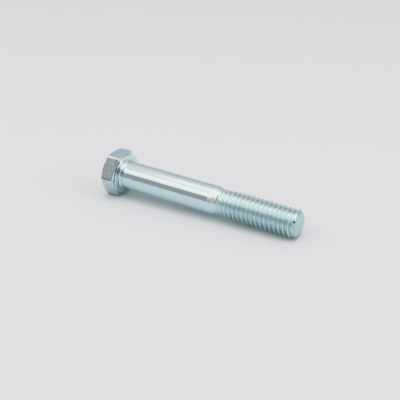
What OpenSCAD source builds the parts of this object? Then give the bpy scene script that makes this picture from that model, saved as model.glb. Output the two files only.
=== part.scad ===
// Hex head bolt, inch coarse thread, with a plain shank and a rolled right-hand thread.
// It lies along X. The bearing plane under the head is at X = 0, and the point is on the +X side.
// Two flats of the head face +Z and -Z, and two of its corners lie on the Y axis.

/* [Shank] */
// Length from the bearing plane to the end of the point
bolt_length = 63.5; // [57.15:6.35:101.6]
// Diameter of the plain shank
shank_dia = 9.52; // [9.4:0.02:9.7]
// Radius of the fillet between the bearing face and the shank
fillet_radius = 0.75; // [0.4:0.05:0.8]

/* [Head] */
// Width across the flats
across_flats = 14.1; // [14:0.05:14.3]
// Height of the whole head, washer face included
head_height = 5.8; // [5.75:0.05:6.35]
// Height of the washer face alone
washer_height = 0.5; // [0.4:0.05:0.65]
// Diameter of the washer face
washer_dia = 13.4; // [12.8:0.1:13.8]
// Diameter of the flat left inside the top chamfer
crown_dia = 13.1; // [12:0.1:13.6]
// Angle between the top chamfer and the top of the head
chamfer_angle = 30; // [15:1:35]
// How far the corners are rounded off on the bearing side
corner_relief = 0.25; // [0:0.05:0.4]

/* [Thread] */
// Distance from one crest to the next
pitch = 1.5875; // [1.0583:24 to the inch, 1.5875:16 to the inch]
// Major diameter, over the crests
major_dia = 9.48; // [9.3:0.02:9.5]
// Diameter of the blank that the thread is rolled on
blank_dia = 8.5; // [8.4:0.02:8.8]
// Depth of the groove as a share of the pitch
depth_share = 0.6; // [0.54:0.01:0.62]
// Length of the thread, from the end of the point to the shoulder
thread_length = 27.5; // [26:0.1:32]
// Distance over which the crests grow from the blank to the major diameter
fill_length = 7.5; // [4:0.5:10]
// Turn of the whole helix about the bolt's axis, in degrees
helix_turn = -36; // [-180:1:180]

/* [Run-out and point] */
// Length of the shoulder between the shank and the blank
shoulder_length = 1.6; // [0.8:0.1:2]
// Length of the slight taper before the shoulder
taper_length = 0.6; // [0.4:0.1:3]
// How much the radius falls over the slight taper
taper_drop = 0.05; // [0:0.01:0.15]
// Length of the chamfer at the point
point_length = 1; // [0.6:0.1:1.6]
// Diameter of the flat end of the point
point_dia = 8.1; // [7.4:0.1:8.2]

/* [Hidden] */
$fn = 96;

across_corners = across_flats / cos(30);
shank_r = shank_dia / 2;
fillet_outer_r = shank_r + fillet_radius;
fillet_steps = 6;

major_r = major_dia / 2;
blank_r = blank_dia / 2;
point_r = point_dia / 2;
thread_start = bolt_length - thread_length;
runout_start = thread_start - shoulder_length - taper_length;
point_start = bolt_length - point_length;

// A 60 degree thread form: its flanks lean 30 degrees, and the crest's flat is an eighth of the pitch
flank_slope = tan(30);
root_r = major_r - depth_share * pitch;
crest_half_width = pitch / 16;
root_half_width = pitch / 2 - crest_half_width - (major_r - root_r) * flank_slope;
// The groove reaches its full depth over this length
lead_in_length = pitch;

// The thread's surface has this many columns of points round the bolt
columns = 32;
// Places of the rows of points along one pitch, from the middle of the groove
thread_rows = [
    root_half_width, pitch / 2 - crest_half_width, pitch / 2 + crest_half_width, pitch - root_half_width
];
// The point has finer rows, because the chamfer cuts across the thread there
fine_row_count = 12;
point_rows = [for (i = [0 : fine_row_count - 1]) pitch * i / fine_row_count];

// Solid of revolution about X from points of [radius, distance along X]
module lathe(points) {
    rotate([0, 90, 0])
        rotate_extrude()
            polygon(points);
}

// Radius of the crests: they fill up from the blank, and the point's chamfer cuts them back
function crest_r(x) =
    let (
        filled = blank_r + (major_r - blank_r) * (x - thread_start) / fill_length,
        chamfered = major_r - (major_r - point_r) * (x - point_start) / point_length
    )
    min(major_r, filled, chamfered);

// Radius of the groove's bottom, which sinks from the blank over the lead-in
function groove_r(x) = max(root_r, blank_r - (blank_r - root_r) * (x - thread_start) / lead_in_length);

// Radius of the thread at an angle about X and a distance along X.
// The groove's middle moves one pitch along +X in each turn from +Y towards +Z.
function thread_r(angle, x) =
    let (
        turns = (x - thread_start) / pitch - angle / 360,
        off_middle = abs(turns - round(turns)) * pitch,
        flank = groove_r(x) + max(0, off_middle - root_half_width) / flank_slope
    )
    min(crest_r(x), flank);

// Closed solid under the thread's surface, cut flat at two distances along X.
// Its rows of points run along the helix, so that crests and roots stay sharp.
module threaded_solid(from_x, to_x, rows) {
    row_count = len(rows);
    first_turn = floor((from_x - thread_start) / pitch) - 2;
    turn_count = ceil((to_x - from_x) / pitch) + 5;
    column_size = turn_count * row_count + 1;
    surface = [
        for (i = [0 : columns - 1], q = [0 : column_size - 1])
            let (
                angle = 360 * i / columns,
                turn = first_turn + floor(q / row_count) + i / columns,
                x = min(max(thread_start + pitch * turn + rows[q % row_count], from_x), to_x),
                r = thread_r(angle, x)
            )
            [x, r * cos(angle + helix_turn), r * sin(angle + helix_turn)]
    ];
    near_centre = columns * column_size;
    far_centre = near_centre + 1;
    points = concat(surface, [[from_x, 0, 0], [to_x, 0, 0]]);
    // The last column meets the first one a whole turn further on
    sides = [
        for (i = [0 : columns - 1])
            let (shift = i == columns - 1 ? row_count : 0, here = i * column_size)
            let (there = shift > 0 ? shift : here + column_size)
            for (q = [0 : column_size - 2 - shift])
                each [[here + q, here + q + 1, there + q + 1], [here + q, there + q + 1, there + q]]
    ];
    ends = [
        for (i = [0 : columns - 1])
            let (here = i * column_size, there = (i + 1) % columns * column_size, top = column_size - 1)
            each [[near_centre, here, there], [far_centre, there + top, here + top]]
    ];
    // Rows beyond either end collapse onto its edge, and their empty triangles are left out
    solid_faces = [
        for (t = concat(sides, ends))
            if (points[t[0]] != points[t[1]] && points[t[1]] != points[t[2]] && points[t[2]] != points[t[0]])
                t
    ];
    polyhedron(points, solid_faces);
}

// Hexagonal prism whose corners are cut back by the top chamfer and relieved on the bearing side
module hex_head() {
    corner_r = across_corners / 2;
    crown_r = crown_dia / 2;
    chamfer_drop = (corner_r - crown_r) * tan(chamfer_angle);
    color("lightsteelblue")
        intersection() {
            translate([-head_height, 0, 0])
                rotate([0, 90, 0])
                    rotate([0, 0, 30])
                        cylinder(r = corner_r, h = head_height - washer_height, $fn = 6);
            lathe([
                [0, -head_height], [crown_r, -head_height], [corner_r, -head_height + chamfer_drop],
                [corner_r, -washer_height - corner_relief], [corner_r - corner_relief, -washer_height],
                [0, -washer_height]
            ]);
        }
}

// Ring that bears on the clamped part, round the fillet's root
module washer_face() {
    washer_r = washer_dia / 2;
    color("lightsteelblue")
        lathe([
            [fillet_outer_r, -washer_height], [washer_r, -washer_height],
            [washer_r, 0], [fillet_outer_r, 0]
        ]);
}

// Concave quarter round from the bearing plane to the shank, on a core that fills the washer face
module head_fillet() {
    arc = [
        for (i = [0 : fillet_steps])
            let (angle = 270 - 90 * i / fillet_steps)
            [fillet_outer_r + fillet_radius * cos(angle), fillet_radius + fillet_radius * sin(angle)]
    ];
    color("lightsteelblue")
        lathe(concat([[0, -washer_height], [fillet_outer_r, -washer_height]], arc, [[0, fillet_radius]]));
}

// Plain round grip
module plain_shank() {
    color("lightsteelblue")
        translate([fillet_radius, 0, 0])
            rotate([0, 90, 0])
                cylinder(r = shank_r, h = runout_start - fillet_radius);
}

// Slight taper, then the shoulder down to the blank
module thread_runout() {
    shoulder_start = thread_start - shoulder_length;
    color("lightsteelblue")
        lathe([
            [0, runout_start], [shank_r, runout_start], [shank_r - taper_drop, shoulder_start],
            [blank_r, thread_start], [0, thread_start]
        ]);
}

// Rolled thread, whose crests rise from the blank to the major diameter
module threaded_length() {
    color("lightsteelblue")
        threaded_solid(thread_start, point_start, thread_rows);
}

// Chamfered point, with the last turn of the groove running out through it
module chamfered_point() {
    color("lightsteelblue")
        threaded_solid(point_start, bolt_length, point_rows);
}

hex_head();
washer_face();
head_fillet();
plain_shank();
thread_runout();
threaded_length();
chamfered_point();
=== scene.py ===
"""Looks of the zinc plated hex head bolt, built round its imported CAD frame.

The bolt lies along X with its bearing plane at X = 0. Angles about X run from +Y towards +Z.
Every shape is a radius worked out over a grid of angles and distances along X.
"""
import math
from collections import namedtuple

import bpy
import numpy as np
from mathutils import Matrix, Vector


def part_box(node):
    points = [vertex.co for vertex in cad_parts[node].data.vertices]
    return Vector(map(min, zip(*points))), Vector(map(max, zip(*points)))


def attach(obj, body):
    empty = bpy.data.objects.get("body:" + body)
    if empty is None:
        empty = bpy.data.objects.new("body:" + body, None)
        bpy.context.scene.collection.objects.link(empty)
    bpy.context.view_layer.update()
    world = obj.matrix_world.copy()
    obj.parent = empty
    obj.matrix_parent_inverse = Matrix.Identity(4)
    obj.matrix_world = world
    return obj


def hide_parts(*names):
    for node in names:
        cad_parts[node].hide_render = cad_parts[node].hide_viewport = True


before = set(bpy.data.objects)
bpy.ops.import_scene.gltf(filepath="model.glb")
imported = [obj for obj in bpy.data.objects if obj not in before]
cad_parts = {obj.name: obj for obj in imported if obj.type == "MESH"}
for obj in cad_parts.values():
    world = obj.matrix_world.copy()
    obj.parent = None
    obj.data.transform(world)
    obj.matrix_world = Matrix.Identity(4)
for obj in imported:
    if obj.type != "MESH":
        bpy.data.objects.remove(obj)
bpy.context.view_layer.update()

MM = 0.001
FULL_TURN = 2 * math.pi

# ----------------------------------------------------------------------------------------------------
# Sizes. Places along X come from the frame, and the rest are the bolt's own dimensions in metres.
# ----------------------------------------------------------------------------------------------------
HEAD_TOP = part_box("hex_head")[0].x
# The ring looks this much thicker than its CAD node
RING_GAIN = 0.25 * MM
HEAD_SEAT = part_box("hex_head")[1].x - RING_GAIN
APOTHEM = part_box("hex_head")[1].z
BEARING_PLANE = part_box("washer_face")[1].x
SHANK_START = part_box("plain_shank")[0].x
RUNOUT_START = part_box("thread_runout")[0].x
THREAD_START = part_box("threaded_length")[0].x
POINT_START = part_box("chamfered_point")[0].x
POINT_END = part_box("chamfered_point")[1].x

CROWN_R = 6.55 * MM
CHAMFER_ANGLE = math.radians(30)
CORNER_SHARPNESS = 60
CROWN_EDGE_R = 0.25 * MM
CHAMFER_EDGE_R = 0.15 * MM
TRIMMED_EDGE_R = 0.85 * MM
WASHER_R = 6.7 * MM
UNDERCUT_DEPTH = 0.35 * MM
UNDERCUT_START = HEAD_SEAT + 0.08 * MM
UNDERCUT_END = HEAD_SEAT + 0.12 * MM
# In the order of the corners of the ring's outline
WASHER_EDGES_R = (0.02 * MM, 0.02 * MM, 0.03 * MM, 0.04 * MM, 0.10 * MM, 0.02 * MM)

SHANK_R = 4.76 * MM
FILLET_R = SHANK_START - BEARING_PLANE
FILLET_OUTER_R = SHANK_R + FILLET_R
TAPER_LENGTH = 0.6 * MM
TAPER_DROP = 0.05 * MM
SHOULDER_EDGE_R = 0.8 * MM

PITCH = 1.5875 * MM
MAJOR_R = 4.74 * MM
BLANK_R = 4.25 * MM
POINT_R = 4.05 * MM
ROOT_R = MAJOR_R - 0.6 * PITCH
FILL_LENGTH = 7.5 * MM
HELIX_TURN = math.radians(-36)
THREAD_HALF_ANGLE = math.radians(30)
FLANK_SLOPE = math.tan(THREAD_HALF_ANGLE)
CREST_HALF_WIDTH = PITCH / 16
ROOT_HALF_WIDTH = PITCH / 2 - CREST_HALF_WIDTH - (MAJOR_R - ROOT_R) * FLANK_SLOPE
# The groove's bottom is an arc that touches both flanks and the root
ROOT_ARC_R = ROOT_HALF_WIDTH / FLANK_SLOPE
CREST_EDGE = 0.06 * MM
CREST_BLEND = 0.01 * MM

# The dent at the shoulder, where the first groove starts
DENT_ANGLE = math.radians(142)
DENT_X = THREAD_START + 0.28 * MM
DENT_DEPTH = 0.14 * MM
DENT_AROUND = 0.9 * MM
DENT_ALONG = 0.17 * MM
# The fold where the last crest ends in the chamfer
FOLD_ANGLE = math.radians(147)
FOLD_X = POINT_END - 0.45 * MM
FOLD_DEPTH = 0.55 * MM
FOLD_AROUND = 0.34 * MM
FOLD_ALONG = 0.24 * MM
FOLD_PLACE = (FOLD_X, POINT_R * math.cos(FOLD_ANGLE), POINT_R * math.sin(FOLD_ANGLE))
POINT_EDGE_R = 0.12 * MM
POINT_EDGE_SHARE = 0.9
DISH_DEPTH = 0.06 * MM

# Columns and rows of the grids
HEAD_COLUMNS = 480
ROUND_COLUMNS = 256
THREAD_COLUMNS = 168
POINT_COLUMNS = 240
FILLET_ROWS = 49
SHANK_ROWS = 121
POINT_ROWS = 49
END_ROWS = 13

RIPPLE_WAVES = 5
# Shortest and longest wave, as shares of the ripple's length
RIPPLE_LENGTHS = (0.6, 1.6)


# ----------------------------------------------------------------------------------------------------
# Surfaces
# ----------------------------------------------------------------------------------------------------
def even_angles(columns):
    """Angles about X, one for each column, evenly spread over a turn."""
    return FULL_TURN * np.arange(columns) / columns


def crowded_angles(columns, corners, crowding):
    """Angles that crowd together at each corner: angle = even - crowding * sin(corners * even) / corners."""
    even = even_angles(columns)
    return even - crowding * np.sin(corners * even) / corners


def hexagon_radius(angle):
    """Radius of a hexagon with soft corners: apothem * (sum of the flats' cosines ^ n) ^ (-1 / n)."""
    flats = math.pi / 2 + np.arange(6) * math.pi / 3
    facing = np.maximum(np.cos(angle[None] - flats[:, None]), 0)
    return APOTHEM * np.sum(facing ** CORNER_SHARPNESS, axis=0) ** (-1 / CORNER_SHARPNESS)


def lesser(a, b, softness):
    """The lesser of two values, with the crossing rounded.

    It is half of their sum less the root of gap^2 + 4 * softness^2.
    """
    return (a + b - np.sqrt((a - b) ** 2 + 4 * softness ** 2)) / 2


def ripple(angle, x, seed, height, length):
    """Gentle waviness: a sum of sine waves along X.

    Wave number k has k lobes about X, 1 / k of the height, and its own length, phase and lean.
    """
    draw = np.random.default_rng(seed)
    total = 0
    for lobes in range(1, RIPPLE_WAVES + 1):
        phase, lean = draw.uniform(0, FULL_TURN, 2)
        wave = length * draw.uniform(*RIPPLE_LENGTHS)
        total = total + np.sin(lobes * angle + phase) * np.sin(FULL_TURN * x / wave + lean) / lobes
    return height * total


def rounded_outline(corners, radii, arc_rows=8, line_rows=5):
    """Points along an outline in each column, with an arc at each inner corner.

    corners is (corner, column, 2) and holds distance along X and radius. An arc starts radius * tan(turn / 2)
    before its corner, and its centre lies one radius to the side that the outline turns to.
    """
    ahead = np.diff(corners, axis=0)
    ahead = ahead / np.linalg.norm(ahead, axis=2, keepdims=True)
    rows = [corners[:1]]
    for k, radius in enumerate(radii, start=1):
        into, out = ahead[k - 1], ahead[k]
        cosine = np.sum(into * out, axis=1, keepdims=True)
        turn = np.arccos(np.clip(cosine, -1, 1))
        side = (out - into * cosine) / np.maximum(np.sin(turn), 1e-9)
        start = corners[k] - into * radius * np.tan(turn / 2)
        centre = start + side * radius
        share = np.linspace(0, 1, arc_rows)[:, None, None]
        arc = centre + radius * (into * np.sin(share * turn) - side * np.cos(share * turn))
        rows += [line_between(rows[-1][-1], arc[0], line_rows), arc]
    rows += [line_between(rows[-1][-1], corners[-1], line_rows), corners[-1:]]
    return np.concatenate(rows)


def line_between(start, end, rows):
    """Rows of points inside the straight line from start to end, without its two ends."""
    share = np.linspace(0, 1, rows + 2)[1:-1, None, None]
    return start + (end - start) * share


def outline_columns(corners, columns):
    """The same outline in every column, from corners given as distance along X and radius."""
    return np.repeat(np.array(corners, float)[:, None, :], columns, axis=1)


def closed_ends(outline, start_x, end_x):
    """The outline with a point on the axis before and after it, which closes both ends with discs."""
    ends = outline_columns([(start_x, 0), (end_x, 0)], outline.shape[1])
    return np.concatenate([ends[:1], outline, ends[1:]])


def turned(outline, angles):
    """Carries each column's outline out to its angle about X: (x, r cos angle, r sin angle)."""
    x, r = outline[..., 0], outline[..., 1]
    return np.stack([x, r * np.cos(angles), r * np.sin(angles)], axis=-1)


def crest_radius(x):
    """Radius over the crests: the least of a rise from the blank, the major radius and the chamfer."""
    filled = BLANK_R + (MAJOR_R - BLANK_R) * (x - THREAD_START) / FILL_LENGTH
    chamfered = MAJOR_R - (MAJOR_R - POINT_R) * (x - POINT_START) / (POINT_END - POINT_START)
    return lesser(lesser(filled, MAJOR_R, CREST_BLEND), chamfered, CREST_BLEND)


def thread_radius(angle, x):
    """Radius of the thread's surface at an angle about X and a distance along X.

    Off the groove's middle by less than the arc's reach, r = bottom + arc - sqrt(arc^2 - off^2), and beyond
    it a straight flank. The lesser of that and the crest's radius is the surface.
    """
    turns = (x - THREAD_START) / PITCH - (angle - HELIX_TURN) / FULL_TURN
    off = np.abs(turns - np.round(turns)) * PITCH
    bottom = np.maximum(ROOT_R, BLANK_R - (BLANK_R - ROOT_R) * (x - THREAD_START) / PITCH)
    reach = ROOT_ARC_R * math.cos(THREAD_HALF_ANGLE)
    arc = bottom + ROOT_ARC_R - np.sqrt(ROOT_ARC_R ** 2 - np.minimum(off, reach) ** 2)
    flank = bottom + (off - ROOT_HALF_WIDTH) / FLANK_SLOPE
    return lesser(np.where(off < reach, arc, flank), crest_radius(x), CREST_EDGE)


def helix_rows(start, end, columns, row_places):
    """Distances along X of a grid whose rows follow the helix, held within start and end.

    Row q of column c lies at THREAD_START + pitch * (turn + c / columns) + its place along the pitch.
    """
    first_turn = math.floor((start - THREAD_START) / PITCH) - 2
    last_turn = math.ceil((end - THREAD_START) / PITCH) + 2
    turns = np.arange(first_turn, last_turn + 1)
    rows = THREAD_START + (turns[:, None] * PITCH + row_places[None, :]).ravel()
    along = rows[:, None] + PITCH * np.arange(columns)[None, :] / columns
    return np.clip(along, start, end)


def skin(points, shift=0):
    """Vertices and triangles of a closed surface from its grid of rows and columns.

    Points that repeat down a column become one vertex, and so does a row at a pole. The last column meets the
    first one shift rows further on. Triangles wind so that they face away from the X axis.
    """
    rows, columns = points.shape[:2]
    fresh = np.ones((rows, columns), bool)
    fresh[1:] = np.any(points[1:] != points[:-1], axis=2)
    first = np.maximum.accumulate(np.where(fresh, np.arange(rows)[:, None], 0), axis=0)
    number = first * columns + np.arange(columns)
    pole = np.all(points == points[:, :1], axis=(1, 2))
    number[pole] = number[pole, :1]
    onward = np.minimum(np.arange(rows) + shift, rows - 2)
    onward[0], onward[-1] = 0, rows - 1
    beside = np.column_stack([number[:, 1:], number[onward, 0]])
    near, far, far_beside, near_beside = number[:-1], number[1:], beside[1:], beside[:-1]
    halves = [np.stack([near, far_beside, far], -1), np.stack([near, near_beside, far_beside], -1)]
    triangles = np.concatenate(halves).reshape(-1, 3)
    whole = (triangles != np.roll(triangles, 1, axis=1)).all(axis=1)
    used, faces = np.unique(triangles[whole], return_inverse=True)
    return points.reshape(-1, 3)[used], faces.reshape(-1, 3)


def ring_skin(points):
    """Vertices and triangles of a ring, whose last row is its first row again."""
    rows, columns = points.shape[0] - 1, points.shape[1]
    number = np.arange(rows * columns).reshape(rows, columns)
    after, beside = np.roll(number, -1, axis=0), np.roll(number, -1, axis=1)
    across = np.roll(after, -1, axis=1)
    halves = [np.stack([number, across, after], -1), np.stack([number, beside, across], -1)]
    return points[:-1].reshape(-1, 3), np.concatenate(halves).reshape(-1, 3)


def make_piece(name, surface, node, material, crease=35):
    """A shown piece with this surface, riding on the bolt in place of its CAD node.

    Edges sharper than crease, in degrees, aren't smoothed over.
    """
    points, triangles = surface
    mesh = bpy.data.meshes.new(name)
    mesh.from_pydata(points.tolist(), [], triangles.tolist())
    mesh.shade_smooth()
    mesh.set_sharp_from_angle(angle=math.radians(crease))
    mesh.materials.append(material)
    piece = bpy.data.objects.new(name, mesh)
    bpy.context.scene.collection.objects.link(piece)
    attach(piece, "root")
    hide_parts(node)
    return piece


# ----------------------------------------------------------------------------------------------------
# Shader maths
# ----------------------------------------------------------------------------------------------------
class Term:
    """A number in a shader. Arithmetic on it adds Math nodes."""

    def __init__(self, finish, socket):
        self.finish = finish
        self.socket = socket

    def maths(self, operation, first, second):
        """The result of one Math node."""
        node = self.finish.add("ShaderNodeMath", {"operation": operation}, {0: first, 1: second})
        return Term(self.finish, node.outputs[0])

    def __add__(self, other):
        return self.maths("ADD", self, other)

    def __radd__(self, other):
        return self.maths("ADD", other, self)

    def __sub__(self, other):
        return self.maths("SUBTRACT", self, other)

    def __rsub__(self, other):
        return self.maths("SUBTRACT", other, self)

    def __mul__(self, other):
        return self.maths("MULTIPLY", self, other)

    def __rmul__(self, other):
        return self.maths("MULTIPLY", other, self)

    def __truediv__(self, other):
        return self.maths("DIVIDE", self, other)

    def __rtruediv__(self, other):
        return self.maths("DIVIDE", other, self)

    def __pow__(self, other):
        return self.maths("POWER", self, other)

    def step(self, low, high):
        """0 below low, 1 above high, and a smooth rise between them."""
        sockets = {"Value": self, "From Min": low, "From Max": high}
        node = self.finish.add("ShaderNodeMapRange", {"interpolation_type": "SMOOTHSTEP"}, sockets)
        return Term(self.finish, node.outputs[0])


class Finish:
    """The nodes of one material or of the world."""

    def __init__(self, tree):
        self.tree = tree
        self.tree.nodes.clear()

    def add(self, kind, settings=None, sockets=None):
        """Adds a node of this kind: first its settings, then the values or links of its sockets."""
        node = self.tree.nodes.new(kind)
        for name, value in (settings or {}).items():
            setattr(node, name, value)
        for name, value in (sockets or {}).items():
            socket = node.inputs[name]
            if isinstance(value, Term):
                self.tree.links.new(value.socket, socket)
            elif isinstance(value, bpy.types.NodeSocket):
                self.tree.links.new(value, socket)
            else:
                socket.default_value = value
        return node

    def parts(self, vector):
        """The three parts of a vector, as terms."""
        outputs = self.add("ShaderNodeSeparateXYZ", sockets={0: vector}).outputs
        return [Term(self, part) for part in outputs]

    def vector(self, x, y, z):
        """A vector from three terms or numbers."""
        return self.add("ShaderNodeCombineXYZ", sockets={0: x, 1: y, 2: z}).outputs[0]

    def noise(self, vector, size, detail, roughness=0.5, distortion=0.0):
        """Smooth noise about 0.5, in blots of about this size."""
        sockets = {"Vector": vector, "Scale": 1 / size, "Detail": detail}
        sockets.update({"Roughness": roughness, "Distortion": distortion})
        return Term(self, self.add("ShaderNodeTexNoise", sockets=sockets).outputs[0])

    def mixed(self, share, first, second):
        """A colour between two colours."""
        settings = {"data_type": "RGBA"}
        node = self.add("ShaderNodeMix", settings, {0: share, 6: first, 7: second})
        return node.outputs[2]


# ----------------------------------------------------------------------------------------------------
# Zinc plating
# ----------------------------------------------------------------------------------------------------
ZINC = (0.62, 0.775, 0.82, 1)
ZINC_BLUE = (0.60, 0.74, 0.84, 1)
ZINC_TEAL = (0.56, 0.78, 0.77, 1)
ZINC_DULL = (0.42, 0.50, 0.52, 1)
ZINC_BRIGHT = (0.80, 0.88, 0.90, 1)

HEAD_ZINC = (0.61, 0.73, 0.735, 1)
HEAD_CLOUD = (0.47, 0.60, 0.59, 1)
TOP_FLAT_ZINC = (0.55, 0.735, 0.815, 1)
BEARING_ZINC = (0.64, 0.80, 0.79, 1)
# Painted highlight on the top of the bearing side
BEARING_HIGHLIGHT = (0.82, 0.92, 0.90, 1)
TRIMMED_ZINC = (0.48, 0.59, 0.66, 1)
# Painted shade on the trimmed edge
TRIMMED_EDGE_SHADE = (0.34, 0.43, 0.41, 1)
# Painted shade along the front corner
CORNER_SHADE = (0.44, 0.54, 0.53, 1)
# Painted shade low on the head
BOTTOM_CONTACT_SHADE = (0.36, 0.45, 0.45, 1)
# Painted shade low on the bearing side
BEARING_LOW_SHADE = (0.40, 0.51, 0.56, 1)
# Painted shade on the bearing ring
RING_SHADE = (0.20, 0.29, 0.33, 1)
# Painted shade in the undercut
UNDERCUT_SHADE = (0.06, 0.12, 0.17, 1)

SHANK_CLOUD = (0.52, 0.66, 0.69, 1)
# Painted shade on the fillet
FILLET_SHADE = (0.33, 0.43, 0.46, 1)
SCUFF_WHITE = (0.86, 0.90, 0.93, 1)
SPECK_GREY = (0.40, 0.44, 0.47, 1)

THREAD_ZINC = (0.535, 0.725, 0.75, 1)
# Painted shade on the thread's underside
CREST_SHADE = (0.44, 0.62, 0.64, 1)
GROOVE_ZINC = (0.61, 0.75, 0.77, 1)
# Painted light in the upper grooves
GROOVE_LIGHT = (0.80, 0.87, 0.86, 1)
FAR_GROOVE = (0.47, 0.57, 0.59, 1)
# Painted shade in the lower grooves
GROOVE_SHADE = (0.37, 0.47, 0.48, 1)
# Painted shade in the shoulder's dent
SHOULDER_SHADE = (0.28, 0.32, 0.34, 1)
END_RING = (0.30, 0.33, 0.36, 1)
END_ZINC = (0.50, 0.71, 0.74, 1)
# Painted shade in the fold's pit
FOLD_SHADE = (0.02, 0.03, 0.03, 1)

# Sizes of the plating's patterns
STREAK_WIDTH = 0.35 * MM
DRIFT_SIZE = 4.5 * MM
MOTTLE_SIZE = 0.9 * MM
CLOUD_SIZE = 1.7 * MM
GRAIN_SIZE = 0.13 * MM
PATCH_SIZE = 0.55 * MM
PATCH_STRETCH = 0.7
# How strongly each pattern tints and roughens the plating, and how it stands up out of the relief
MIDDLE = 0.5
BLUE_SHARE = 0.35
DULL_SHARE = 0.5
STREAK_ROUGHNESS = 0.30
MOTTLE_ROUGHNESS = 0.06
GRAIN_ROUGHNESS = 0.05
SCUFF_ROUGHNESS = 0.22
MOTTLE_HEIGHT = 0.35
GRAIN_HEIGHT = 0.30
RELIEF = 1.2e-6
FAINT_SHARE = 0.5
GROOVE_SHADE_SHARE = 0.9
CREST_SHADE_SHARE = 0.7

GROOVE_RIM_R = MAJOR_R - 0.15 * MM

# A place on the surface, with the noise there
Spot = namedtuple("Spot", "x y z radius clouds patches")
# A mask of place, its colour, and what it adds to roughness and height
Mark = namedtuple("Mark", "mask colour rougher raised", defaults=(0.0, 0.0))


def zinc(name, base, roughness, streak_share, streak_length, teal_share, scuff_share, marks):
    """Bright zinc with a clear blue passivate.

    Drawing or rolling leaves streaks along X. The passivate's tint drifts from blue to teal, and the surface
    has a fine crystal grain and small scuffs. The marks come on top, in their order.
    """
    material = bpy.data.materials.new(name)
    material.use_nodes = True
    finish = Finish(material.node_tree)
    x, y, z = finish.parts(finish.add("ShaderNodeTexCoord").outputs["Object"])
    place = finish.vector(x, y, z)
    across = 1 / STREAK_WIDTH
    drawn = finish.vector(x / streak_length, y * across, z * across)
    streaks = finish.noise(drawn, 1.0, 3.0, 0.6)
    drift = finish.noise(place, DRIFT_SIZE, 2.0, 0.5, 0.6)
    mottle = finish.noise(place, MOTTLE_SIZE, 3.0, 0.6)
    clouds = finish.noise(place, CLOUD_SIZE, 3.0, 0.6, 0.4)
    grain = finish.noise(place, GRAIN_SIZE, 2.0, 0.7)
    patches = finish.noise(finish.vector(x * PATCH_STRETCH, y, z), PATCH_SIZE, 2.0, 0.5, 0.8)
    scuffs = patches.step(0.60, 0.70) * scuff_share

    tint = finish.mixed(drift.step(0.35, 0.65) * teal_share, base, ZINC_TEAL)
    tint = finish.mixed(mottle.step(0.42, 0.75) * BLUE_SHARE, tint, ZINC_BLUE)
    tint = finish.mixed(streaks.step(0.5, 0.8) * streak_share * DULL_SHARE, tint, ZINC_DULL)
    tint = finish.mixed(scuffs, tint, ZINC_BRIGHT)

    rough = roughness + (streaks - MIDDLE) * streak_share * STREAK_ROUGHNESS
    rough = rough + (mottle - MIDDLE) * MOTTLE_ROUGHNESS + (grain - MIDDLE) * GRAIN_ROUGHNESS
    rough = rough + scuffs * SCUFF_ROUGHNESS
    height = streaks * streak_share + mottle * MOTTLE_HEIGHT + grain * GRAIN_HEIGHT + scuffs
    spot = Spot(x, y, z, (y * y + z * z) ** 0.5, clouds, patches)
    for mark in marks:
        mask = mark.mask(spot)
        tint = finish.mixed(mask, tint, mark.colour)
        if mark.rougher:
            rough = rough + mask * mark.rougher
        if mark.raised:
            height = height + mask * mark.raised
    bump = finish.add("ShaderNodeBump", None, {"Strength": 1.0, "Distance": RELIEF, "Height": height})
    sockets = {"Base Color": tint, "Metallic": 1.0, "Roughness": rough, "Normal": bump.outputs[0]}
    shader = finish.add("ShaderNodeBsdfPrincipled", None, sockets)
    finish.add("ShaderNodeOutputMaterial", None, {"Surface": shader.outputs[0]})
    return material


def within(value, low, high, softness):
    """1 between low and high, with a soft border inside them."""
    return value.step(low, low + softness) * (1.0 - value.step(high - softness, high))


def near(spot, place, radius, softness):
    """1 inside a ball about a place."""
    away = (spot.x - place[0]) ** 2 + (spot.y - place[1]) ** 2 + (spot.z - place[2]) ** 2
    return 1.0 - (away ** 0.5).step(radius - softness, radius)


def stains(spot):
    """Cloudy patches."""
    return spot.clouds.step(0.46, 0.64)


def faint_stains(spot):
    """The same patches, hardly visible."""
    return spot.clouds.step(0.50, 0.70) * FAINT_SHARE


def top_flat(spot):
    """1 on the flat that faces +Z."""
    return spot.z.step(APOTHEM - 0.3 * MM, APOTHEM)


def worn_corners(spot):
    """Broken line along the corners, fading out towards the lowest ones."""
    corners = spot.radius.step(APOTHEM * 1.11, APOTHEM * 1.14)
    return corners * spot.patches.step(0.42, 0.55) * spot.z.step(-2.0 * MM, 2.0 * MM)


def bearing_side(spot):
    """1 on the bearing ring and the trimmed edge beside it."""
    return spot.x.step(HEAD_SEAT - 0.5 * MM, HEAD_SEAT - 0.1 * MM)


def bearing_top_highlight(spot):
    """Painted highlight on the highest part of the bearing side."""
    return bearing_side(spot) * spot.z.step(4.6 * MM, 5.6 * MM) * (1.0 - spot.y.step(-1.5 * MM, 0.5 * MM))


def bearing_low_shade(spot):
    """Painted shade on the lowest part of the bearing side, where the floor's contact shadow falls."""
    return bearing_side(spot) * (1.0 - spot.z.step(-5.8 * MM, -4.2 * MM))


def trimmed_top(spot):
    """Trimmed edge of the top flat."""
    return spot.x.step(HEAD_SEAT - 0.9 * MM, HEAD_SEAT - 0.3 * MM) * spot.z.step(6.72 * MM, 6.85 * MM)


def trimmed_edge_shade(spot):
    """Painted shade on the trimmed edge beside the top corner."""
    edge = spot.x.step(HEAD_SEAT - 0.8 * MM, HEAD_SEAT - 0.4 * MM)
    place = (HEAD_SEAT - 0.2 * MM, -4.7 * MM, 5.6 * MM)
    return edge * near(spot, place, radius=1.5 * MM, softness=0.7 * MM)


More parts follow.
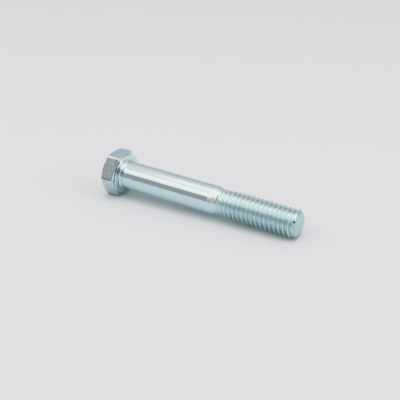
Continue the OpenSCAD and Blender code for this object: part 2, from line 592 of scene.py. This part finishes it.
def corner_shade_line(spot):
    """Painted shade: a dark line along the corner between the two flats at the front."""
    line = within(spot.z, low=-0.1 * MM, high=1.0 * MM, softness=0.4 * MM)
    line = line * (1.0 - spot.y.step(-7.6 * MM, -7.2 * MM))
    return line * (1.0 - spot.x.step(HEAD_SEAT - 1.0 * MM, HEAD_SEAT - 0.6 * MM))


def bottom_contact_shade(spot):
    """Painted shade, darkening the bottom flat and the lowest part of the two beside it."""
    return 1.0 - spot.z.step(-6.6 * MM, -5.4 * MM)


def ring_shade(spot):
    """Painted shade across the bearing ring."""
    place = (-0.2 * MM, -5.2 * MM, 3.5 * MM)
    return near(spot, place, radius=1.6 * MM, softness=1.0 * MM)


def fillet_shade(spot):
    """The same painted shade where it fades out over the fillet."""
    place = (0.25 * MM, -4.5 * MM, 2.8 * MM)
    return near(spot, place, radius=1.5 * MM, softness=1.0 * MM)


def undercut(spot):
    """Painted shade: 1 in the narrow gap between the hexagon and the bearing ring."""
    gap = within(spot.x, low=HEAD_SEAT - 0.12 * MM, high=HEAD_SEAT + 0.10 * MM, softness=0.04 * MM)
    return gap * (1.0 - spot.radius.step(WASHER_R - 0.02 * MM, WASHER_R + 0.1 * MM))


def grooves(spot):
    """1 in the grooves' bottoms, fading out up the flanks."""
    return 1.0 - spot.radius.step(ROOT_R, GROOVE_RIM_R)


def full_grooves(spot):
    """The grooves once they have become deep."""
    return grooves(spot) * spot.x.step(THREAD_START + 1.0 * MM, THREAD_START + 5.0 * MM)


def upper_groove_light(spot):
    """Painted light in the grooves on the upper front side, which makes them lighter."""
    return grooves(spot) * spot.z.step(2.6 * MM, 3.4 * MM) * (1.0 - spot.y.step(-1.8 * MM, -0.6 * MM))


def far_grooves(spot):
    """The deep grooves on the opposite side."""
    return full_grooves(spot) * spot.y.step(-1.2 * MM, 0.2 * MM)


def lower_groove_shade(spot):
    """Painted shade in the deep grooves on the underside."""
    return full_grooves(spot) * (1.0 - spot.z.step(-2.5 * MM, -0.2 * MM)) * GROOVE_SHADE_SHARE


def underside_crest_shade(spot):
    """Painted shade: duller crests towards the side the bolt lies on."""
    low = 1.0 - spot.z.step(-3.2 * MM, -0.6 * MM)
    return low * spot.x.step(THREAD_START, THREAD_START + 5.0 * MM) * CREST_SHADE_SHARE


def gripped_side(spot):
    """1 on the side where the blank was gripped for rolling."""
    return 1.0 - spot.y.step(-1.6 * MM, -0.6 * MM)


def runout_side(spot):
    """1 on the part of that side where the run-out is scuffed."""
    return within(spot.z, low=0.9 * MM, high=4.5 * MM, softness=0.6 * MM) * gripped_side(spot)


def scuffed_runout(spot):
    """Scuff on the run-out, on one side."""
    band = within(spot.x, low=RUNOUT_START - 0.8 * MM, high=THREAD_START + 0.1 * MM, softness=0.5 * MM)
    return band * runout_side(spot) * spot.patches.step(0.36, 0.56)


def runout_specks(spot):
    """Grey specks in that scuff."""
    band = within(spot.x, low=RUNOUT_START - 1.0 * MM, high=THREAD_START - 0.2 * MM, softness=0.4 * MM)
    return band * runout_side(spot) * spot.patches.step(0.60, 0.66)


def shoulder_dent_shade(spot):
    """Painted shade: a dark line in the dent where the first groove starts."""
    line = within(spot.x, low=THREAD_START - 0.05 * MM, high=THREAD_START + 0.6 * MM, softness=0.2 * MM)
    return line * within(spot.z, low=1.8 * MM, high=3.6 * MM, softness=0.4 * MM) * gripped_side(spot)


def end_edge(spot):
    """Thin ring where the chamfer meets the end's face."""
    ring = within(spot.radius, low=POINT_R - 0.22 * MM, high=POINT_R + 0.10 * MM, softness=0.1 * MM)
    return ring * spot.x.step(POINT_END - 0.3 * MM, POINT_END - 0.15 * MM)


def end_face(spot):
    """1 on the flat end, inside its edge."""
    inside = 1.0 - spot.radius.step(POINT_R - 0.35 * MM, POINT_R - 0.15 * MM)
    return inside * spot.x.step(POINT_END - 0.2 * MM, POINT_END - 0.1 * MM)


def fold_pit_shade(spot):
    """Painted shade in the pit of the fold in the chamfer."""
    return near(spot, FOLD_PLACE, radius=0.48 * MM, softness=0.25 * MM)


def make_head_zinc():
    """Forged and trimmed head: cloudy and blotched, with worn corners. Shade is painted round the bearing
    ring, on the trimmed edge, along the front corner and low down, and a highlight on the top of the bearing
    side.
    """
    return zinc(
        "head_zinc", HEAD_ZINC, roughness=0.20, streak_share=1.0, streak_length=3 * MM,
        teal_share=0.4, scuff_share=0.15, marks=[
            Mark(stains, HEAD_CLOUD, rougher=0.04, raised=0.8),
            Mark(top_flat, TOP_FLAT_ZINC),
            Mark(worn_corners, ZINC_BRIGHT, rougher=0.10, raised=0.8),
            Mark(bearing_side, BEARING_ZINC, rougher=0.03),
            Mark(bearing_top_highlight, BEARING_HIGHLIGHT),
            Mark(trimmed_top, TRIMMED_ZINC, rougher=0.05),
            Mark(trimmed_edge_shade, TRIMMED_EDGE_SHADE, rougher=0.08),
            Mark(corner_shade_line, CORNER_SHADE),
            Mark(bottom_contact_shade, BOTTOM_CONTACT_SHADE),
            Mark(bearing_low_shade, BEARING_LOW_SHADE, rougher=0.05),
            Mark(ring_shade, RING_SHADE, rougher=0.10),
            Mark(undercut, UNDERCUT_SHADE, rougher=0.10),
        ])


def make_shank_zinc():
    """Drawn shank: long fine streaks and faint clouds, with a scuff on the run-out and painted shade on the
    fillet.
    """
    return zinc(
        "shank_zinc", ZINC, roughness=0.13, streak_share=0.5, streak_length=25 * MM,
        teal_share=0.25, scuff_share=0.05, marks=[
            Mark(faint_stains, SHANK_CLOUD, rougher=0.03, raised=0.3),
            Mark(fillet_shade, FILLET_SHADE, rougher=0.10),
            Mark(scuffed_runout, SCUFF_WHITE, rougher=0.20, raised=12.0),
            Mark(runout_specks, SPECK_GREY, rougher=0.15),
        ])


def make_thread_zinc():
    """Rolled thread: duller and more teal. Shade is painted on the underside, in the lower grooves, in the
    shoulder's dent and in the fold in the chamfer, and light in the upper grooves.
    """
    return zinc(
        "thread_zinc", THREAD_ZINC, roughness=0.22, streak_share=0.3, streak_length=2 * MM,
        teal_share=0.6, scuff_share=0.12, marks=[
            Mark(underside_crest_shade, CREST_SHADE, rougher=0.03),
            Mark(grooves, GROOVE_ZINC, rougher=0.12),
            Mark(upper_groove_light, GROOVE_LIGHT),
            Mark(far_grooves, FAR_GROOVE),
            Mark(lower_groove_shade, GROOVE_SHADE),
            Mark(shoulder_dent_shade, SHOULDER_SHADE, rougher=0.15),
            Mark(end_edge, END_RING, rougher=0.10),
            Mark(end_face, END_ZINC),
            Mark(fold_pit_shade, FOLD_SHADE, rougher=0.3),
        ])


# ----------------------------------------------------------------------------------------------------
# Pieces
# ----------------------------------------------------------------------------------------------------
def head_piece(material):
    """Forged hexagon: crown, 30 degree chamfer, flats and a rounded bearing-side edge.

    Each column has its own width. The chamfer meets the flats at
    HEAD_TOP + (width - crown) * tan(chamfer angle), so its lower edge dips in a curve towards each corner.
    """
    angles = crowded_angles(HEAD_COLUMNS, corners=6, crowding=0.8)
    width = hexagon_radius(angles)
    level = np.ones_like(width)
    chamfer_foot = HEAD_TOP + (width - CROWN_R) * math.tan(CHAMFER_ANGLE)
    corners = np.stack([
        np.stack([HEAD_TOP * level, 0 * level], -1),
        np.stack([HEAD_TOP * level, CROWN_R * level], -1),
        np.stack([chamfer_foot, width], -1),
        np.stack([HEAD_SEAT * level, width], -1),
        np.stack([HEAD_SEAT * level, 0 * level], -1),
    ])
    uneven = ripple(angles, x=0.7 * MM, seed=5, height=0.07 * MM, length=3 * MM)
    radii = [CROWN_EDGE_R, CHAMFER_EDGE_R, TRIMMED_EDGE_R + uneven[:, None]]
    outline = rounded_outline(corners, radii, arc_rows=10, line_rows=12)
    return make_piece("forged_head", skin(turned(outline, angles)), "hex_head", material)


def washer_piece(material):
    """Washer face: a flat ring with soft edges and a narrow undercut between it and the hexagon."""
    neck = WASHER_R - UNDERCUT_DEPTH
    angles = even_angles(ROUND_COLUMNS)
    middle = (HEAD_SEAT + BEARING_PLANE) / 2
    corners = outline_columns([
        (middle, FILLET_OUTER_R), (HEAD_SEAT, FILLET_OUTER_R), (HEAD_SEAT, neck), (UNDERCUT_START, neck),
        (UNDERCUT_END, WASHER_R), (BEARING_PLANE, WASHER_R), (BEARING_PLANE, FILLET_OUTER_R),
        (middle, FILLET_OUTER_R),
    ], ROUND_COLUMNS)
    surface = ring_skin(turned(rounded_outline(corners, WASHER_EDGES_R, arc_rows=8, line_rows=3), angles))
    return make_piece("bearing_ring", surface, "washer_face", material)


def fillet_piece(material):
    """Fillet under the head: a concave quarter circle from the bearing plane to the shank.

    Its centre lies one fillet radius out from the shank and one fillet radius on from the bearing plane.
    """
    angles = even_angles(ROUND_COLUMNS)
    sweep = np.linspace(1.5 * math.pi, math.pi, FILLET_ROWS)
    arc_x = BEARING_PLANE + FILLET_R * (1 + np.sin(sweep))
    arc_r = SHANK_R + FILLET_R * (1 + np.cos(sweep))
    core = [(HEAD_SEAT, 0), (HEAD_SEAT, FILLET_OUTER_R)]
    outline = np.concatenate([core, np.stack([arc_x, arc_r], -1), [(SHANK_START, 0)]])
    outline = outline_columns(outline, ROUND_COLUMNS)
    return make_piece("fillet", skin(turned(outline, angles)), "head_fillet", material)


def shank_piece(material):
    """Plain shank: a cylinder with a waviness of a few micrometres.

    The waviness dies out at both ends, as the root of sin(pi * share of the length).
    """
    angles = even_angles(ROUND_COLUMNS)
    x = np.linspace(SHANK_START, RUNOUT_START, SHANK_ROWS)[:, None]
    share = (x - SHANK_START) / (RUNOUT_START - SHANK_START)
    uneven = ripple(angles[None, :], x, seed=3, height=0.003 * MM, length=9 * MM)
    radius = SHANK_R + uneven * np.sin(math.pi * share) ** 0.5
    outline = closed_ends(np.stack([x + 0 * radius, radius], -1), SHANK_START, RUNOUT_START)
    return make_piece("grip", skin(turned(outline, angles)), "plain_shank", material)


def runout_piece(material):
    """Run-out: a slight taper, then the shoulder down to the blank that the thread is rolled on.

    Its waviness dies out at both ends, as the square of sin(pi * share of the length).
    """
    angles = even_angles(ROUND_COLUMNS)
    corners = outline_columns([
        (RUNOUT_START, SHANK_R), (RUNOUT_START + TAPER_LENGTH, SHANK_R - TAPER_DROP), (THREAD_START, BLANK_R),
    ], ROUND_COLUMNS)
    outline = rounded_outline(corners, [SHOULDER_EDGE_R], arc_rows=12, line_rows=16)
    share = (outline[..., 0] - RUNOUT_START) / (THREAD_START - RUNOUT_START)
    uneven = ripple(angles, outline[..., 0], seed=11, height=0.012 * MM, length=1.6 * MM)
    outline[..., 1] += uneven * np.sin(math.pi * share) ** 2
    surface = skin(turned(closed_ends(outline, RUNOUT_START, THREAD_START), angles))
    return make_piece("runout_shoulder", surface, "thread_runout", material)


def thread_piece(material):
    """Rolled thread: its grid's rows follow the helix, so roots, flanks and crests stay smooth and sharp.

    Where the first groove starts, a dent in the shoulder's foot lowers the radius by
    depth * exp(-(around / reach)^4 - (along / reach)^2).
    """
    # Places from the groove's middle to the crest's, closest where the profile bends
    half = np.array([0, 0.07, 0.14, 0.217, 0.34, 0.47, 0.58, 0.65, 0.69, 0.735, 0.79375]) * MM
    places = np.concatenate([half[:-1], PITCH - half[:0:-1]])
    x = helix_rows(THREAD_START, POINT_START, THREAD_COLUMNS, places)
    angles = even_angles(THREAD_COLUMNS) + HELIX_TURN
    radius = thread_radius(angles, x)
    around = np.angle(np.exp(1j * (angles - DENT_ANGLE))) * BLANK_R
    along = x - DENT_X
    radius = radius - DENT_DEPTH * np.exp(-(around / DENT_AROUND) ** 4 - (along / DENT_ALONG) ** 2)
    outline = closed_ends(np.stack([x, radius], -1), THREAD_START, POINT_START)
    surface = skin(turned(outline, angles), shift=len(places))
    return make_piece("rolled_thread", surface, "threaded_length", material, crease=50)


def point_piece(material):
    """Chamfered point, whose end has a small arc for an edge round a shallow dish.

    The thread runs out through the chamfer. Where its last crest ends, a small fold lowers the radius by
    depth * exp(-(around / reach)^2 - (along / reach)^2). The dish falls by depth * (1 - share^2)^1.5, with
    share the distance from the axis as a share of the end's radius.
    """
    angles = even_angles(POINT_COLUMNS)
    x = np.linspace(POINT_START, POINT_END, POINT_ROWS)[:, None]
    into_edge = np.maximum(x - (POINT_END - POINT_EDGE_R), 0)
    edge_fall = POINT_EDGE_R - np.sqrt(POINT_EDGE_R ** 2 - into_edge ** 2)
    radius = thread_radius(angles[None, :], x) - edge_fall * POINT_EDGE_SHARE
    around = (angles[None, :] - FOLD_ANGLE) * POINT_R
    along = x - FOLD_X
    radius = radius - FOLD_DEPTH * np.exp(-(around / FOLD_AROUND) ** 2 - (along / FOLD_ALONG) ** 2)
    side = np.stack([x + 0 * radius, radius], -1)
    inward = np.linspace(1, 0, END_ROWS)[1:, None]
    dish = DISH_DEPTH * (1 - inward ** 2) ** 1.5
    rim = side[-1:, :, 1]
    face = np.stack([POINT_END - dish + 0 * rim, inward * rim], -1)
    centre = outline_columns([(POINT_START, 0)], POINT_COLUMNS)
    surface = skin(turned(np.concatenate([centre, side, face]), angles))
    return make_piece("point", surface, "chamfered_point", material, crease=50)


# ----------------------------------------------------------------------------------------------------
# Studio
# ----------------------------------------------------------------------------------------------------
BALANCE_X = 25 * MM
# Points count as touching the floor within these limits
CREST_SLACK = 0.1 * MM
FLAT_SLACK = 0.05 * MM
KEEL_STEEPNESS = 4
LAST_TURNS = 3
FLOOR_REACH = 3.0
FLOOR_COLOUR = (0.667, 0.67, 0.71, 1)
# Painted glow that lifts the floor's contact shadow
FLOOR_BOUNCE_GLOW = (0.032, 0.065, 0.055, 1)

TENT_GLOW = 0.61
TENT_LEVEL_COLOUR = (1, 0.99, 1.0, 1)
TENT_TOP_COLOUR = (1, 0.93, 0.925, 1)
DOME_FOOT = 0.45
DOME_GAIN = 0.87
FRONT_GLOW = 0.405
RIGHT_GAIN = 0.45

BRIGHTEST = 4
# Light values, and what they are drawn in to
SHOULDER = ((0.3, 0.3), (0.6, 0.6), (0.75, 0.70), (0.9, 0.785), (1.15, 0.86), (1.6, 0.92))

SENSOR_WIDTH = 36
NEAREST_SEEN = 0.01


def resting_line(pieces, balance_x):
    """Height at X = 0 and slope of the line in the XZ plane that the bolt rests on.

    Of all lines through a low point before the balance point and one beyond it, it is the lowest there.
    """
    points = np.concatenate([np.array([v.co[:] for v in piece.data.vertices]) for piece in pieces])
    low = points[np.hypot(points[:, 1], points[:, 2]) > MAJOR_R - CREST_SLACK]
    low = low[low[:, 2] < -np.abs(low[:, 1]) * KEEL_STEEPNESS]
    before = low[(low[:, 0] < balance_x) & (low[:, 2] < -APOTHEM + FLAT_SLACK)]
    beyond = low[low[:, 0] > POINT_START - LAST_TURNS * PITCH]
    slope = (beyond[None, :, 2] - before[:, None, 2]) / (beyond[None, :, 0] - before[:, None, 0])
    height = before[:, None, 2] - slope * before[:, None, 0]
    lowest = np.unravel_index(np.argmin(height + slope * balance_x), height.shape)
    return height[lowest], slope[lowest]


def make_floor(height, slope):
    """Pale floor under the lying bolt, tilted with it because the bolt stays in its own frame.

    A faint painted glow, teal like light bounced off the zinc, lifts and softens the contact shadow.
    """
    drop = FLOOR_REACH * slope
    corners = [
        (-FLOOR_REACH, -FLOOR_REACH, height - drop), (FLOOR_REACH, -FLOOR_REACH, height + drop),
        (FLOOR_REACH, FLOOR_REACH, height + drop), (-FLOOR_REACH, FLOOR_REACH, height - drop),
    ]
    mesh = bpy.data.meshes.new("floor")
    mesh.from_pydata(corners, [], [(0, 1, 2, 3)])
    material = bpy.data.materials.new("matt_floor")
    material.use_nodes = True
    finish = Finish(material.node_tree)
    matt = finish.add("ShaderNodeBsdfDiffuse", None, {"Color": FLOOR_COLOUR})
    glow = finish.add("ShaderNodeEmission", None, {"Color": FLOOR_BOUNCE_GLOW, "Strength": 1.0})
    both = finish.add("ShaderNodeAddShader", None, {0: matt.outputs[0], 1: glow.outputs[0]})
    finish.add("ShaderNodeOutputMaterial", None, {"Surface": both.outputs[0]})
    mesh.materials.append(material)
    floor = bpy.data.objects.new("floor", mesh)
    bpy.context.scene.collection.objects.link(floor)


def make_world():
    """Light tent: pale all round, brighter overhead, and darker low down in front.

    Its glow is level + gain * height above the dome's foot, more on the right and set lower in front.
    """
    world = bpy.data.worlds.new("tent")
    bpy.context.scene.world = world
    world.use_nodes = True
    finish = Finish(world.node_tree)
    x, y, z = finish.parts(finish.add("ShaderNodeTexCoord").outputs["Generated"])
    dome = TENT_GLOW + z.maths("MAXIMUM", z - DOME_FOOT, 0.0) * DOME_GAIN
    front = (0.0 - y).step(0.45, 0.72) * (1.0 - z.step(0.50, 0.66))
    right = x.step(0.62, 0.90) * y.step(-0.62, -0.38)
    glow = (dome + right * RIGHT_GAIN) * (1.0 - front) + front * FRONT_GLOW
    colour = finish.mixed(z.step(0.0, 0.6), TENT_LEVEL_COLOUR, TENT_TOP_COLOUR)
    background = finish.add("ShaderNodeBackground", None, {"Color": colour, "Strength": glow})
    finish.add("ShaderNodeOutputWorld", None, {"Surface": background.outputs[0]})


def make_softbox(name, centre, aim, width, depth, radiance, colour):
    """Rectangular soft light of this radiance: its power is radiance * pi * area."""
    lamp = bpy.data.lights.new(name, "AREA")
    lamp.shape = "RECTANGLE"
    lamp.size = width
    lamp.size_y = depth
    lamp.energy = radiance * math.pi * width * depth
    lamp.color = colour
    box = bpy.data.objects.new(name, lamp)
    bpy.context.scene.collection.objects.link(box)
    back = (Vector(centre) - Vector(aim)).normalized()
    along = Vector((1, 0, 0)) - back * back.x
    along.normalize()
    across = back.cross(along)
    turn = Matrix((along, across, back)).transposed()
    box.matrix_world = Matrix.Translation(Vector(centre)) @ turn.to_4x4()
    return box


def make_lights():
    """Three softboxes that the zinc mirrors, and a light on the floor that it doesn't."""
    make_softbox(
        "front_softbox", centre=(-0.243, -0.313, 0.439), aim=(0.02, 0, 0), width=1.0, depth=0.337,
        radiance=0.7, colour=(1.0, 0.93, 0.92))
    make_softbox(
        "overhead_softbox", centre=(0.068, 0.056, 0.6), aim=(0.068, 0.056, 0), width=0.76, depth=0.324,
        radiance=0.62, colour=(1.0, 0.93, 0.92))
    make_softbox(
        "right_softbox", centre=(0.51, 0.03, 0.36), aim=(0.03, 0, 0), width=0.5, depth=0.4,
        radiance=0.6, colour=(1.0, 0.95, 0.94))
    floor_light = make_softbox(
        "floor_light", centre=(0.02, -0.03, 0.7), aim=(0.02, 0, 0), width=0.35, depth=0.35,
        radiance=1.5, colour=(1.0, 1.0, 1.0))
    floor_light.visible_glossy = False


def soften_highlights():
    """Film-like shoulder: light values up to 0.6 stay, and brighter ones are drawn in below white."""
    settings = bpy.context.scene.view_settings
    settings.view_transform = "Standard"
    settings.use_curve_mapping = True
    mapping = settings.curve_mapping
    mapping.clip_max_x = BRIGHTEST
    curve = mapping.curves[3]
    curve.points[1].location = (BRIGHTEST, 1)
    for level, shown in SHOULDER:
        curve.points.new(level, shown)
    mapping.update()


def make_camera(aim, distance, azimuth, elevation, roll, lens):
    """Camera at a distance from aim.

    Azimuth 0 looks along +Y, and roll turns the camera about its own line of sight. Angles are in degrees.
    """
    azimuth, elevation, roll = (math.radians(angle) for angle in (azimuth, elevation, roll))
    level = math.cos(elevation)
    back = Vector((math.sin(azimuth) * level, -math.cos(azimuth) * level, math.sin(elevation)))
    right = Vector((0, 0, 1)).cross(back).normalized()
    up = back.cross(right)
    rolled_right = right * math.cos(roll) + up * math.sin(roll)
    rolled_up = up * math.cos(roll) - right * math.sin(roll)
    lens_data = bpy.data.cameras.new("camera")
    lens_data.lens = lens
    lens_data.sensor_width = SENSOR_WIDTH
    lens_data.clip_start = NEAREST_SEEN
    camera = bpy.data.objects.new("camera", lens_data)
    bpy.context.scene.collection.objects.link(camera)
    turn = Matrix((rolled_right, rolled_up, back)).transposed()
    camera.matrix_world = Matrix.Translation(aim + back * distance) @ turn.to_4x4()
    bpy.context.scene.camera = camera


# ----------------------------------------------------------------------------------------------------
# Assembly
# ----------------------------------------------------------------------------------------------------
make_camera(
    aim=Vector((28.35, 0, -1.54)) * MM, distance=301 * MM,
    azimuth=29.42, elevation=26.87, roll=2.22, lens=83.85)
soften_highlights()

head_zinc = make_head_zinc()
shank_zinc = make_shank_zinc()
thread_zinc = make_thread_zinc()

pieces = [
    head_piece(head_zinc),
    washer_piece(head_zinc),
    fillet_piece(shank_zinc),
    shank_piece(shank_zinc),
    runout_piece(shank_zinc),
    thread_piece(thread_zinc),
    point_piece(thread_zinc),
]

make_floor(*resting_line(pieces, BALANCE_X))
make_world()
make_lights()
